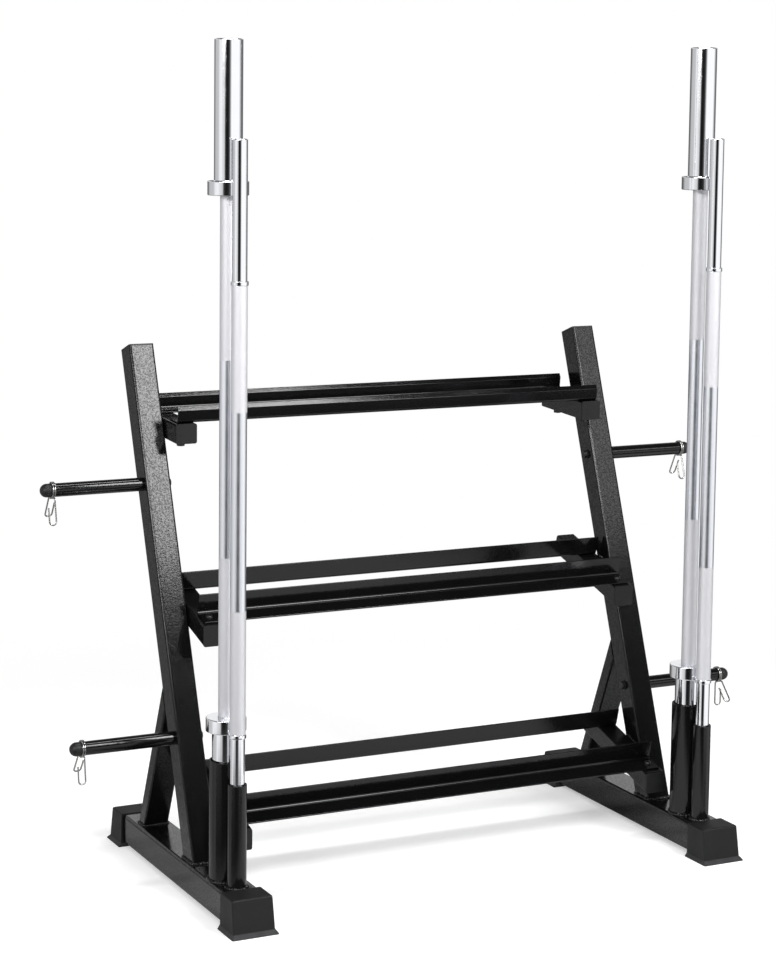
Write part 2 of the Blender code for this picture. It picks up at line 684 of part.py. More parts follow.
clear_scene()
rack = bpy.data.collections.new("weight_storage_rack")
bpy.context.scene.collection.children.link(rack)
PAINT = new_material("black_powder_coat", (0.022, 0.022, 0.023), 0.0, 0.38)
PLASTIC = new_material("black_plastic", (0.030, 0.030, 0.031), 0.0, 0.55)
BOOT = new_material("grey_black_plastic", (0.040, 0.040, 0.041), 0.0, 0.60)
CHROME = new_material("chrome", (0.80, 0.80, 0.82), 1.0, 0.12)
build_beams()
build_boots()
build_uprights()
build_braces()
build_holders()
build_arms()
build_rails()
build_pegs()
build_clips()
build_wide_bars()
build_thin_bars()
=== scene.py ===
import random
from math import atan2, copysign, cos, degrees, pi, radians, sin, tan, tau

import bmesh
import bpy
from mathutils import Matrix, Vector


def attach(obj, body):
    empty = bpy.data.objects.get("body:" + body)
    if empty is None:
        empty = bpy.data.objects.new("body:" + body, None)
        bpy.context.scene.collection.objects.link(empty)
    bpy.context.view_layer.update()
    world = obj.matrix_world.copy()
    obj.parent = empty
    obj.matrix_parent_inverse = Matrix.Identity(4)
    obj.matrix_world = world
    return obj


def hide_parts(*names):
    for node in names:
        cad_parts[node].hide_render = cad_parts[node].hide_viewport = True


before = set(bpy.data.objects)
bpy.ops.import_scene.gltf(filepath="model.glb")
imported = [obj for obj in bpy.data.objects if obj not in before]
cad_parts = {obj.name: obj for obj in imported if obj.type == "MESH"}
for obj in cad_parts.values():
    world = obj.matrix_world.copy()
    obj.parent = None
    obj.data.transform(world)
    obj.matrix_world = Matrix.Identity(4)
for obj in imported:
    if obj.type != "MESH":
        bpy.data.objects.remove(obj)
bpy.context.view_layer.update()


# camera, floor and light
# The rack stands on a white paper floor that runs on into a white background. The camera looks
# down a little from the front left. Big white panels light it from the sides, with a dark gap
# where the camera stands.
scene = bpy.context.scene
camera_at = Vector((-2.1112, -4.0718, 1.4881))
camera_yaw = radians(-26.444)
camera_pitch = radians(6.339)
camera_roll = radians(0.665)
lens_data = bpy.data.cameras.new("camera")
lens_data.sensor_width = 36.0
lens_data.lens = 90.015
lens_data.shift_y = -0.1404
lens_data.clip_start = 0.05
lens_data.clip_end = 60.0
camera = bpy.data.objects.new("camera", lens_data)
scene.collection.objects.link(camera)
camera.matrix_world = (Matrix.Translation(camera_at) @ Matrix.Rotation(camera_yaw, 4, "Z")
                       @ Matrix.Rotation(pi / 2 - camera_pitch, 4, "X")
                       @ Matrix.Rotation(camera_roll, 4, "Z"))
scene.camera = camera
scene.view_settings.view_transform = "Standard"


def feed(tree, socket, value):
    """Sets a socket to a number or a colour, or links to it the socket that feeds it."""
    if isinstance(value, bpy.types.NodeSocket):
        tree.links.new(value, socket)
    else:
        socket.default_value = (*value, 1.0) if isinstance(value, tuple) else value


def node(tree, kind, feeds=None, **settings):
    """A new node with its settings and what feeds its sockets, by name or number."""
    made = tree.nodes.new(kind)
    for key, value in settings.items():
        setattr(made, key, value)
    for socket, value in (feeds or {}).items():
        feed(tree, made.inputs[socket], value)
    return made


def math_node(tree, operation, *values):
    """The result of a Math node; each value is a number or the socket that feeds it."""
    return node(tree, "ShaderNodeMath", dict(enumerate(values)), operation=operation).outputs[0]


def times(tree, one, two):
    return math_node(tree, "MULTIPLY", one, two)


def plus(tree, one, two):
    return math_node(tree, "ADD", one, two)


def remap(tree, value, start, end, low=0.0, high=1.0, curve="SMOOTHSTEP"):
    """Runs from low to high as the value goes from start to end, and is held beyond."""
    return node(tree, "ShaderNodeMapRange", {
        "Value": value, "From Min": start, "From Max": end, "To Min": low, "To Max": high},
        interpolation_type=curve).outputs[0]


def mixed(tree, share, one, two, blend="MIX"):
    """One colour turned into, or blended with, a second one by a share."""
    return node(tree, "ShaderNodeMix", {0: share, 6: one, 7: two}, data_type="RGBA",
                blend_type=blend).outputs[2]


def mix_shader(tree, share, one, two):
    return node(tree, "ShaderNodeMixShader", {0: share, 1: one, 2: two}).outputs[0]


def grey_ramp(tree, place, stops):
    """A grey that changes along a way; stops are (place, grey)."""
    made = node(tree, "ShaderNodeValToRGB", {"Fac": place})
    elements = made.color_ramp.elements
    while len(elements) < len(stops):
        elements.new(1.0)
    for element, (at, grey) in zip(elements, stops):
        element.position = at
        element.color = (grey, grey, grey, 1.0)
    return made.outputs["Color"]


world = bpy.data.worlds.new("studio")
scene.world = world
world.use_nodes = True
tree = world.node_tree
tree.nodes.clear()
direction = node(tree, "ShaderNodeTexCoord").outputs["Generated"]
way = node(tree, "ShaderNodeSeparateXYZ", {0: direction}).outputs
# turned so that the middle of the ramp is the way from the rack to the camera
camera_bearing = radians(28.0)
bearing = math_node(tree, "ARCTAN2", way["X"], times(tree, way["Y"], -1.0))
turns = math_node(tree, "DIVIDE", plus(tree, bearing, camera_bearing), tau)
turn = math_node(tree, "FRACT", plus(tree, turns, 0.5))
panels = grey_ramp(tree, turn, [
    (0.000, 0.14), (0.110, 0.14), (0.150, 0.40), (0.175, 0.58), (0.270, 0.62), (0.300, 0.95),
    (0.350, 1.05), (0.390, 0.80), (0.424, 0.68), (0.444, 0.045), (0.469, 0.008), (0.492, 0.008),
    (0.514, 0.020), (0.536, 0.065), (0.558, 0.45), (0.581, 1.14), (0.765, 1.14), (0.795, 0.80),
    (0.836, 0.20), (0.900, 0.17), (1.000, 0.14)])
# a dark card lies on the floor in front of the rack, where the black tubes would mirror white
card_grey = (0.10, 0.10, 0.10)
card = times(tree, remap(tree, turn, 0.305, 0.325), remap(tree, turn, 0.692, 0.676))
card = times(tree, remap(tree, way["Z"], -0.265, -0.295), card)
carded = mixed(tree, card, panels, card_grey)
# above the panels the studio is dark, but for the lit wall behind the rack
dark_studio = (0.05, 0.05, 0.05)
back_wall = grey_ramp(tree, way["Z"], [
    (0.00, 0.14), (0.12, 0.30), (0.18, 0.95), (0.40, 0.95), (0.50, 0.14), (1.00, 0.20)])
above = mixed(tree, remap(tree, way["Y"], 0.05, 0.45), dark_studio, back_wall)
studio = mixed(tree, remap(tree, way["Z"], 0.10, 0.22), carded, above)
lit_by = node(tree, "ShaderNodeBackground", {"Color": studio}).outputs[0]
white = node(tree, "ShaderNodeBackground", {"Color": (1.0, 1.0, 1.0)}).outputs[0]
ray = node(tree, "ShaderNodeLightPath").outputs
node(tree, "ShaderNodeOutputWorld",
     {"Surface": mix_shader(tree, ray["Is Camera Ray"], lit_by, white)})

half_floor = 14.0
floor_mesh = bpy.data.meshes.new("studio_floor")
corners = [(x * half_floor, y * half_floor, 0) for x, y in ((-1, -1), (1, -1), (1, 1), (-1, 1))]
floor_mesh.from_pydata(corners, [], [(0, 1, 2, 3)])
floor = bpy.data.objects.new("studio_floor", floor_mesh)
scene.collection.objects.link(floor)
# Seen directly, the paper glows a little, more so on the left, where the photograph shows next
# to no shadow, and runs out into plain white. Reflections of it fade into those of the panels.
paper = bpy.data.materials.new("white_paper")
paper.use_nodes = True
tree = paper.node_tree
tree.nodes.clear()
spot = node(tree, "ShaderNodeTexCoord").outputs["Object"]
distance = node(tree, "ShaderNodeVectorMath", {0: spot}, operation="LENGTH").outputs["Value"]
sideways = node(tree, "ShaderNodeSeparateXYZ", {0: spot}).outputs["X"]
sheet = node(tree, "ShaderNodeBsdfDiffuse", {"Color": (0.80, 0.80, 0.80)}).outputs[0]
fill = remap(tree, sideways, -0.52, -0.64, 0.41, 0.70)
glow = node(tree, "ShaderNodeEmission", {"Strength": fill}).outputs[0]
lit_sheet = node(tree, "ShaderNodeAddShader", {0: sheet, 1: glow}).outputs[0]
plain_white = node(tree, "ShaderNodeEmission", {"Strength": 1.0}).outputs[0]
seen_paper = mix_shader(tree, remap(tree, distance, 1.0, 2.0), lit_sheet, plain_white)
through = node(tree, "ShaderNodeBsdfTransparent").outputs[0]
mirrored_paper = mix_shader(tree, remap(tree, distance, 0.55, 0.95), sheet, through)
ray = node(tree, "ShaderNodeLightPath").outputs
for_light = mix_shader(tree, ray["Is Camera Ray"], sheet, seen_paper)
node(tree, "ShaderNodeOutputMaterial",
     {"Surface": mix_shader(tree, ray["Is Glossy Ray"], for_light, mirrored_paper)})
floor_mesh.materials.append(paper)


def lamp(name, place, aim, size, power):
    """A rectangular panel lamp facing a point."""
    data = bpy.data.lights.new(name, "AREA")
    data.shape = "RECTANGLE"
    data.size, data.size_y = size
    data.energy = power
    ob = bpy.data.objects.new(name, data)
    ob.location = place
    ob.rotation_euler = (Vector(aim) - Vector(place)).to_track_quat("-Z", "Y").to_euler()
    scene.collection.objects.link(ob)


lamp("lamp_key", (-3.55, -2.04, 2.13), (-0.49, 0.10, 0.70), (1.8, 1.0), 70.0)
lamp("lamp_front", (1.17, -2.68, 3.11), (-0.30, 0.155, 1.08), (1.24, 1.77), 120.0)
lamp("lamp_over_camera", (-1.50, -3.22, 2.62), (-0.49, 0.18, 0.79), (2.8, 0.45), 50.0)
lamp("lamp_right", (2.56, -2.80, 2.60), (0.49, 0.17, 0.80), (1.2, 1.0), 12.0)
lamp("lamp_top", (0.0, -0.15, 3.8), (0.0, 0.03, 0.0), (2.6, 0.30), 45.0)


# base beams
# Two lengths of 70 x 56 mm rectangular steel tube with rounded corners. They are cut square,
# welded up and powder coated black with everything that stands on them.
beam_x = 0.488
beam_width = 0.070
beam_height = 0.056
beam_bottom = 0.008
beam_top = beam_bottom + beam_height
beam_wall = 0.0025
beam_corner = 0.006
beam_half = 0.298


def both_sides(x, y=0.0, z=0.0):
    """The name, sign and place of a piece on the left and of its twin on the right."""
    return [(side, sign, Matrix.Translation((sign * x, y, z)))
            for side, sign in (("left", -1), ("right", 1))]


def scratch(data):
    """An object that only lives while a piece is being made."""
    ob = bpy.data.objects.new("scratch", data)
    scene.collection.objects.link(ob)
    return ob


def evaluated(ob):
    """The mesh of an object with its modifiers applied."""
    bpy.context.view_layer.update()
    graph = bpy.context.evaluated_depsgraph_get()
    return bpy.data.meshes.new_from_object(ob.evaluated_get(graph))


def shape_of(ob):
    """The clean mesh of a scratch object in its place; the object is then removed."""
    mesh = evaluated(ob)
    mesh.transform(ob.matrix_world)
    bpy.data.objects.remove(ob, do_unlink=True)
    work = bmesh.new()
    work.from_mesh(mesh)
    bmesh.ops.remove_doubles(work, verts=work.verts, dist=0.000002)
    bmesh.ops.recalc_face_normals(work, faces=work.faces)
    work.to_mesh(mesh)
    work.free()
    return mesh


def frame_of(x, y, z, origin):
    """The matrix whose columns are three directions and an origin."""
    rows = [[x[i], y[i], z[i], origin[i]] for i in range(3)]
    return Matrix(rows + [[0, 0, 0, 1]])


def rounded(points, radii, steps=6):
    """An outline with an arc at each corner that has a radius."""
    out = []
    for i, point in enumerate(points):
        here = Vector(point)
        if radii[i] <= 0:
            out.append(here)
            continue
        back = (Vector(points[i - 1]) - here).normalized()
        ahead = (Vector(points[(i + 1) % len(points)]) - here).normalized()
        half = back.angle(ahead) / 2
        centre = here + (back + ahead).normalized() * (radii[i] / sin(half))
        start = here + back * (radii[i] / tan(half)) - centre
        end = here + ahead * (radii[i] / tan(half)) - centre
        sweep = start.angle_signed(end)
        for k in range(steps + 1):
            spoke = start.copy()
            spoke.rotate(Matrix.Rotation(-sweep * k / steps, 2))
            out.append(centre + spoke)
    return out


def rectangle(width, height, radius, steps=6):
    a, b = width / 2, height / 2
    return rounded([(-a, -b), (a, -b), (a, b), (-a, b)], [radius] * 4, steps)


def pushed(outlines, start, end, matrix=None):
    """Flat outlines, the second one a hole, pushed along Z from start to end."""
    curve = bpy.data.curves.new("outline", "CURVE")
    curve.dimensions = "2D"
    curve.fill_mode = "BOTH"
    curve.extrude = (end - start) / 2
    for outline in outlines:
        spline = curve.splines.new("POLY")
        spline.points.add(len(outline) - 1)
        for point, (x, y) in zip(spline.points, outline):
            point.co = (x, y, 0.0, 1.0)
        spline.use_cyclic_u = True
    ob = scratch(curve)
    ob.matrix_world = (matrix or Matrix()) @ Matrix.Translation((0, 0, (start + end) / 2))
    return shape_of(ob)


def tube(width, height, corner, wall, start, end, matrix):
    """Rectangular tube with rounded corners, open at both ends."""
    return pushed([rectangle(width, height, corner),
                   rectangle(width - 2 * wall, height - 2 * wall, corner - wall)],
                  start, end, matrix)


def set_smooth(mesh, angle=32.0):
    """Smooth shading that keeps flat faces flat."""
    mesh.shade_smooth()
    mesh.set_sharp_from_angle(angle=radians(angle))
    ob = scratch(mesh)
    weigh = ob.modifiers.new("flats", "WEIGHTED_NORMAL")
    weigh.keep_sharp = True
    out = evaluated(ob)
    bpy.data.objects.remove(ob, do_unlink=True)
    return out


def show(name, mesh, material, body="frame", at=None, stands_for=()):
    """A finished piece in its place, riding on its body."""
    if material and not mesh.materials:
        mesh.materials.append(material)
    ob = bpy.data.objects.new(name, mesh)
    scene.collection.objects.link(ob)
    ob.matrix_world = at or Matrix()
    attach(ob, body)
    if stands_for:
        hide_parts(*stands_for)


def new_skin(name, inputs, outputs=("Shade", "Gloss break", "Height")):
    """A shader node group with its own values going in, and the values that vary coming out."""
    group = bpy.data.node_groups.new(name, "ShaderNodeTree")
    for label, value in inputs.items():
        socket = group.interface.new_socket(label, in_out="INPUT", socket_type="NodeSocketFloat")
        socket.default_value = value
    for label in outputs:
        group.interface.new_socket(label, in_out="OUTPUT", socket_type="NodeSocketFloat")
    inlet = node(group, "NodeGroupInput").outputs
    spot = node(group, "ShaderNodeTexCoord").outputs["Object"]
    return group, inlet, spot


def noise(tree, spot, scale, detail, roughness):
    return node(tree, "ShaderNodeTexNoise", {"Vector": spot, "Scale": scale, "Detail": detail,
                                             "Roughness": roughness}).outputs[0]


# The coat is dusted on as powder and baked, so it has fine orange peel and specks with painted
# glints, glossier on its crowns than in its dips, and it is a touch greyer in slow patches.
coat_skin, inlet, spot = new_skin(
    "powder_coat_skin",
    {"Peel size": 420.0, "Speck size": 1500.0, "Speck amount": 0.5, "Sparkle": 0.5},
    ("Shade", "Gloss break", "Height", "Shine"))
tree = coat_skin
peel = noise(tree, spot, inlet["Peel size"], 1.0, 0.5)
speck = node(tree, "ShaderNodeTexVoronoi", {"Vector": spot, "Scale": inlet["Speck size"]})
bright = remap(tree, speck.outputs["Distance"], 0.16, 0.05, curve="LINEAR")
speck_bumps_and_glints = times(tree, bright, inlet["Speck amount"])
patch = remap(tree, noise(tree, spot, 9.0, 3.0, 0.6), 0.3, 0.7, 0.85, 1.15, "LINEAR")
crown = remap(tree, peel, 0.38, 0.62, curve="LINEAR")
# painted glints: the specks are painted lighter in the coat's colour, and raised in the bump
node(tree, "NodeGroupOutput", {
    "Shade": plus(tree, patch, times(tree, speck_bumps_and_glints, 1.6)),
    "Gloss break": times(tree, math_node(tree, "SUBTRACT", peel, 0.5), 0.22),
    "Height": plus(tree, peel, times(tree, speck_bumps_and_glints, 0.5)),
    "Shine": times(tree, crown, inlet["Sparkle"])})


def coated(name, skin, colour, roughness, bump, constants, **values):
    """A material whose colour, roughness and bump (strength, distance) vary with a skin."""
    material = bpy.data.materials.new(name)
    material.use_nodes = True
    tree = material.node_tree
    shader = tree.nodes["Principled BSDF"].inputs
    vary = node(tree, "ShaderNodeGroup", {
        label.replace("_", " "): value for label, value in values.items()}, node_tree=skin).outputs
    grey = node(tree, "ShaderNodeCombineColor", dict.fromkeys(range(3), vary["Shade"])).outputs[0]
    relief = node(tree, "ShaderNodeBump", {
        "Strength": bump[0], "Distance": bump[1], "Height": vary["Height"]}).outputs["Normal"]
    feeds = constants | {"Base Color": mixed(tree, 1.0, colour, grey, "MULTIPLY"),
                         "Roughness": plus(tree, vary["Gloss break"], roughness),
                         "Normal": relief}
    if "Shine" in vary:
        feeds["Coat Weight"] = vary["Shine"]
    for label, value in feeds.items():
        feed(tree, shader[label], value)
    return material


powder_coat = coated("black_powder_coat", coat_skin, (0.0040, 0.0040, 0.0043), 0.16,
                     (0.32, 0.0005), {"Specular IOR Level": 0.17, "Coat Roughness": 0.12},
                     Peel_size=340.0, Speck_size=600.0, Speck_amount=0.5, Sparkle=0.45)

beam_middle = beam_bottom + beam_height / 2
beam_frame = frame_of((1, 0, 0), (0, 0, 1), (0, -1, 0), (0, 0, beam_middle))
beam = set_smooth(tube(beam_width, beam_height, beam_corner, beam_wall, -beam_half, beam_half,
                       beam_frame))
for side, sign, spot in both_sides(beam_x):
    show(f"beam_tube_{side}", beam, powder_coat, at=spot, stands_for=[f"base_beam_{side}"])


# boots
# Four feet moulded in black plastic with a fine matt grain, pushed over the beam ends. They
# taper up from a flared skirt and stand 2 mm proud of the tube on top.
boot_width = 0.078
boot_foot_width = 0.080
boot_top = beam_top + 0.002
boot_mouth = 0.2503
boot_end = 0.303
boot_foot_end = 0.3125
boot_end_wall = 0.0035
boot_corner = 0.0030
boot_top_corner = 0.0034
boot_mouth_corner = 0.0010
boot_round = 0.0030
skirt_height = 0.0085
skirt_out = 0.0047
skirt_end_out = 0.0078
joint_gap = 0.0003


def cut(mesh, tools, operation="DIFFERENCE"):
    """An exact Boolean of a mesh with each tool in turn."""
    ob = scratch(mesh)
    cutters = [scratch(tool) for tool in tools]
    for cutter in cutters:
        step = ob.modifiers.new("cut", "BOOLEAN")
        step.operation = operation
        step.solver = "EXACT"
        step.object = cutter
    out = shape_of(ob)
    for cutter in cutters:
        bpy.data.objects.remove(cutter, do_unlink=True)
    return out


def lofted(name, rings, joined=False):
    """A skin over rings of points, closed at both ends or joined round into a loop."""
    work = bmesh.new()
    loops = [[work.verts.new(point) for point in ring] for ring in rings]
    pairs = list(zip(loops, loops[1:]))
    if joined:
        pairs.append((loops[-1], loops[0]))
    for low, high in pairs:
        for i, vert in enumerate(low):
            j = (i + 1) % len(low)
            work.faces.new((vert, low[j], high[j], high[i]))
    if not joined:
        work.faces.new(loops[0][::-1])
        work.faces.new(loops[-1])
    bmesh.ops.recalc_face_normals(work, faces=work.faces)
    mesh = bpy.data.meshes.new(name)
    work.to_mesh(mesh)
    work.free()
    return mesh


# The mould's grain is pebbled and dulled by faint scuffs. A foot's skirt gets a painted sheen.
grain_skin, inlet, spot = new_skin(
    "moulded_grain", {"Grain size": 900.0, "Scuffs": 0.5, "Dusty below": -10.0})
tree = grain_skin
sheen_depth = 0.0012
pebble = node(tree, "ShaderNodeTexVoronoi", {"Vector": spot, "Scale": inlet["Grain size"]},
              feature="SMOOTH_F1")
flow = noise(tree, spot, 28.0, 4.0, 0.6)
scuffs = times(tree, remap(tree, flow, 0.35, 0.70, curve="LINEAR"), inlet["Scuffs"])
height = node(tree, "ShaderNodeSeparateXYZ", {0: spot}).outputs["Z"]
depth = math_node(tree, "SUBTRACT", inlet["Dusty below"], height)
# painted sheen: the skirt below its top is painted lighter, where its slope would catch light
skirt_sheen = remap(tree, depth, 0.0, sheen_depth, 0.0, 5.0)
clean = plus(tree, times(tree, scuffs, 0.5), 0.85)
painted_skirt_sheen = times(tree, skirt_sheen, plus(tree, scuffs, 0.75))
node(tree, "NodeGroupOutput", {
    "Shade": plus(tree, clean, painted_skirt_sheen),
    "Gloss break": times(tree, scuffs, -0.12),
    "Height": pebble.outputs["Distance"]})
# the boot's skirt, up to its top, is painted lighter as a painted sheen
boot_plastic = coated("matt_black_moulding", grain_skin, (0.0045, 0.0045, 0.0048), 0.60,
                      (0.5, 0.0003), {"Specular IOR Level": 0.30}, Grain_size=900.0, Scuffs=0.5,
                      Dusty_below=skirt_height)


def boot_ring(z, spread, corner):
    """The boot's outline at a height; spread is 1 at the skirt's edge and 0 at its top."""
    share = max(0.0, (z - skirt_height) / (boot_top - skirt_height))
    half = (boot_foot_width + (boot_width - boot_foot_width) * share) / 2 + skirt_out * spread
    end = boot_foot_end + (boot_end - boot_foot_end) * share + skirt_end_out * spread
    plan = rounded([(-half, boot_mouth), (half, boot_mouth), (half, end), (-half, end)],
                   [boot_mouth_corner, boot_mouth_corner, corner, corner], 5)
    return [Vector((x, y, z)) for x, y in plan]


# the skirt has a small upright lip and slopes in to the wall; the top edge is rounded over
rings = [boot_ring(z, spread, boot_corner) for z, spread in (
    (0.0, 0.94), (0.0005, 1.0), (0.0014, 1.0), (0.0019, 0.95), (0.0081, 0.04),
    (skirt_height, 0.0), (boot_top / 2, 0.0))]
middle_y = (boot_mouth + boot_end) / 2
for angle in range(0, 91, 18):
    inset = boot_round * (1 - cos(radians(angle)))
    drop = boot_round * (1 - sin(radians(angle)))
    drawn_in = []
    for p in boot_ring(boot_top - drop, 0.0, boot_top_corner):
        y = p.y - inset if p.y > middle_y else boot_mouth + inset / 4
        drawn_in.append(Vector((copysign(abs(p.x) - inset, p.x), y, p.z)))
    rings.append(drawn_in)
socket_frame = frame_of((-1, 0, 0), (0, 0, 1), (0, 1, 0), (0, 0, beam_middle))
socket = pushed([rectangle(beam_width + 2 * joint_gap, beam_height + 2 * joint_gap,
                           beam_corner + joint_gap)],
                boot_mouth - 0.02, boot_end - boot_end_wall, socket_frame)
boot = set_smooth(cut(lofted("boot", rings), [socket]))
for side, sign, spot in both_sides(beam_x):
    show(f"boot_moulding_rear_{side}", boot, boot_plastic, at=spot,
         stands_for=[f"boot_rear_{side}"])
    show(f"boot_moulding_front_{side}", boot, boot_plastic,
         at=spot @ Matrix.Rotation(pi, 4, "Z"), stands_for=[f"boot_front_{side}"])


# uprights and their end caps
# Square 50 mm tube, leaning back 20 degrees and cut level where it is welded on the beam. The
# weld is one bead round the foot, coated with the rest. A plastic plug closes the top.
post = 0.050
post_wall = 0.0025
post_corner = 0.005
post_lean = radians(20.0)
post_front_y = -0.112
post_top_z = 0.983
cap_plate = 0.003
post_plug = 0.014
post_up = Vector((0, sin(post_lean), cos(post_lean)))
post_back = Vector((0, cos(post_lean), -sin(post_lean)))
post_origin = Vector((0, post_front_y, 0)) + post_back * (post / 2)
post_frame = frame_of((1, 0, 0), post_back, post_up, post_origin)
post_length = post_top_z / cos(post_lean)
weld_out = 0.0005
upright_bead = 0.0040

weld_coat = coated("powder_coat_on_weld", coat_skin, (0.006, 0.006, 0.0064), 0.26,
                   (0.6, 0.0005), {"Specular IOR Level": 0.2, "Coat Roughness": 0.08},
                   Peel_size=420.0, Speck_size=700.0, Speck_amount=0.8, Sparkle=0.7)


def eased(mesh, width, segments=3, angle=40.0):
    """The sharp edges rounded over."""
    ob = scratch(mesh)
    bevel = ob.modifiers.new("edges", "BEVEL")
    bevel.width = width
    bevel.segments = segments
    bevel.limit_method = "ANGLE"
    bevel.angle_limit = radians(angle)
    return shape_of(ob)


def block(low, high, matrix=None):
    """A box between two corners, for cutting."""
    mesh = bpy.data.meshes.new("block")
    work = bmesh.new()
    bmesh.ops.create_cube(work, size=1.0)
    low, high = Vector(low), Vector(high)
    stretch = Matrix.Translation((low + high) / 2) @ Matrix.Diagonal((*(high - low), 1.0))
    bmesh.ops.transform(work, matrix=(matrix or Matrix()) @ stretch, verts=work.verts)
    work.to_mesh(mesh)
    work.free()
    return mesh


def bead(name, path, closed, radius, seed, pitch=0.0042, at=None):
    """A weld bead along a path: overlapping ripples, uneven as a hand-laid bead is."""
    ring_gap = 0.0008
    around = 10
    hollow = 0.38
    # a direction that no weld takes
    askew = Vector((0.31, 0.17, 0.93))
    rng = random.Random(seed)
    points = [Vector(p) for p in path]
    if closed:
        points.append(points[0])
    legs = [(b - a).length for a, b in zip(points, points[1:])]
    total = sum(legs)
    count = max(12, int(total / ring_gap))
    rings = count if closed else count + 1
    spots = []
    for k in range(rings):
        s = total * k / count
        i = 0
        while i < len(legs) - 1 and s > legs[i]:
            s -= legs[i]
            i += 1
        spots.append(points[i].lerp(points[i + 1], min(1.0, s / legs[i])))
    swell = [rng.uniform(-0.26, 0.16) for _ in range(int(total / pitch) + 2)]
    drift = [rng.uniform(-0.22, 0.22) * radius for _ in swell]
    loops = []
    for k, spot in enumerate(spots):
        before = spots[k - 1] if (k or closed) else spot
        after = spots[(k + 1) % rings] if (k + 1 < rings or closed) else spot
        along = (after - before).normalized()
        side = along.cross(askew).normalized()
        over = side.cross(along)
        s = total * k / count / pitch
        ripple = 1.0 - hollow * (s % 1.0) ** 2 + swell[int(s)]
        spot = spot + side * drift[int(s)]
        if not closed:
            ripple *= min(1.0, 0.25 + 4.0 * min(k, rings - 1 - k) / rings)
        loops.append([spot + (side * cos(a) + over * sin(a)) * radius * ripple
                      for a in (tau * j / around for j in range(around))])
    mesh = lofted(name, loops, closed)
    mesh.shade_smooth()
    show(name, mesh, weld_coat, at=at)


def foot_path(front, back, corner):
    """The line of the weld round a tube's foot on a beam."""
    across = rectangle(post + 2 * weld_out, back - front + 2 * weld_out, corner, 4)
    return [(x, y + (front + back) / 2, beam_top + weld_out) for x, y in across]


cap_plastic = coated("black_end_cap_plastic", grain_skin, (0.009, 0.009, 0.0094), 0.48,
                     (0.35, 0.0002), {"Specular IOR Level": 0.40}, Grain_size=1300.0, Scuffs=0.4)

under_feet = block((-1, -1, -1), (1, 1, beam_top + joint_gap))
plate_start = post_length - cap_plate
upright = tube(post, post, post_corner, post_wall, 0.0, plate_start - joint_gap, post_frame)
upright = set_smooth(cut(upright, [under_feet]))
plate = eased(pushed([rectangle(post, post, post_corner)], plate_start, post_length, post_frame),
              0.0009)
room = post - 2 * post_wall - 2 * joint_gap
plug = pushed([rectangle(room, room, post_corner - post_wall)], plate_start - post_plug,
              post_length - cap_plate / 2, post_frame)
upright_cap = set_smooth(cut(plate, [plug], "UNION"))
foot_front = post_front_y + beam_top * tan(post_lean)
foot_back = foot_front + post / cos(post_lean)
upright_foot = foot_path(foot_front, foot_back, post_corner)
for side, sign, spot in both_sides(beam_x):
    show(f"upright_tube_{side}", upright, powder_coat, at=spot, stands_for=[f"upright_{side}"])
    show(f"upright_plug_{side}", upright_cap, cap_plastic, at=spot,
         stands_for=[f"upright_cap_{side}"])
    bead(f"weld_upright_foot_{side}", upright_foot, True, upright_bead, 11 + sign, at=spot)


# rear braces
# Short lengths of 50 x 28 mm tube that prop the uprights from behind. Both ends are cut at an
# angle and welded, one on the beam and one on the upright's back.
brace_depth = 0.028
brace_wall = 0.002
brace_corner = 0.004
brace_lean = radians(22.9)
brace_foot_y = 0.165
brace_uncut = (-0.05, 0.45)
brace_foot_bead = 0.0030
brace_head_bead = 0.0028
brace_head_half = 0.021
brace_up = Vector((0, -sin(brace_lean), cos(brace_lean)))
brace_back = Vector((0, cos(brace_lean), sin(brace_lean)))
low_front = Vector((0, brace_foot_y, beam_top))
low_back = low_front + Vector((0, brace_depth / cos(brace_lean), 0))
brace_frame = frame_of((1, 0, 0), brace_back, brace_up,
                       low_front + brace_back * (brace_depth / 2))
behind_posts = block((-1, -1, -1), (1, post / 2 + joint_gap, 2), post_frame)
brace = tube(post, brace_depth, brace_corner, brace_wall, *brace_uncut, brace_frame)
brace = set_smooth(cut(brace, [under_feet, behind_posts]))


def meets_post(start, direction, face=1):
    """Where a line in the rack's side plane meets the uprights' back (1) or front (-1) face."""
    gone = face * post / 2 - (start - post_origin).dot(post_back)
    return start + direction * (gone / direction.dot(post_back))


brace_foot = foot_path(low_front.y, low_back.y, brace_corner)
for side, sign, spot in both_sides(beam_x):
    show(f"brace_tube_{side}", brace, powder_coat, at=spot, stands_for=[f"rear_brace_{side}"])
    bead(f"weld_brace_foot_{side}", brace_foot, True, brace_foot_bead, 31 + sign, at=spot)
    for end, low, seed in (("low", low_front, 41), ("high", low_back, 44)):
        corner = meets_post(low, brace_up) + post_back * weld_out
        path = [corner + Vector((x, 0, 0)) for x in (-brace_head_half, brace_head_half)]
        bead(f"weld_brace_head_{end}_{side}", path, False, brace_head_bead, seed + sign, at=spot)


# bar holders
# Two round tubes on the front of each beam, 60 mm and 34.5 mm across, with their mouths turned
# smooth. Each is welded round its foot and takes the end of one bar.
holder_floor = 0.090
holder_bead = 0.0038
holder_pitch = 0.0056
holder_weld_out = 0.0006
# place along the beam, outer and bore radius, height of the mouth, sides, seed of its weld
holder_sizes = {
    "large": (-0.1795, 0.0300, 0.0275, 0.283, 72, 51),
    "small": (-0.2320, 0.01725, 0.01425, 0.252, 56, 61),
}


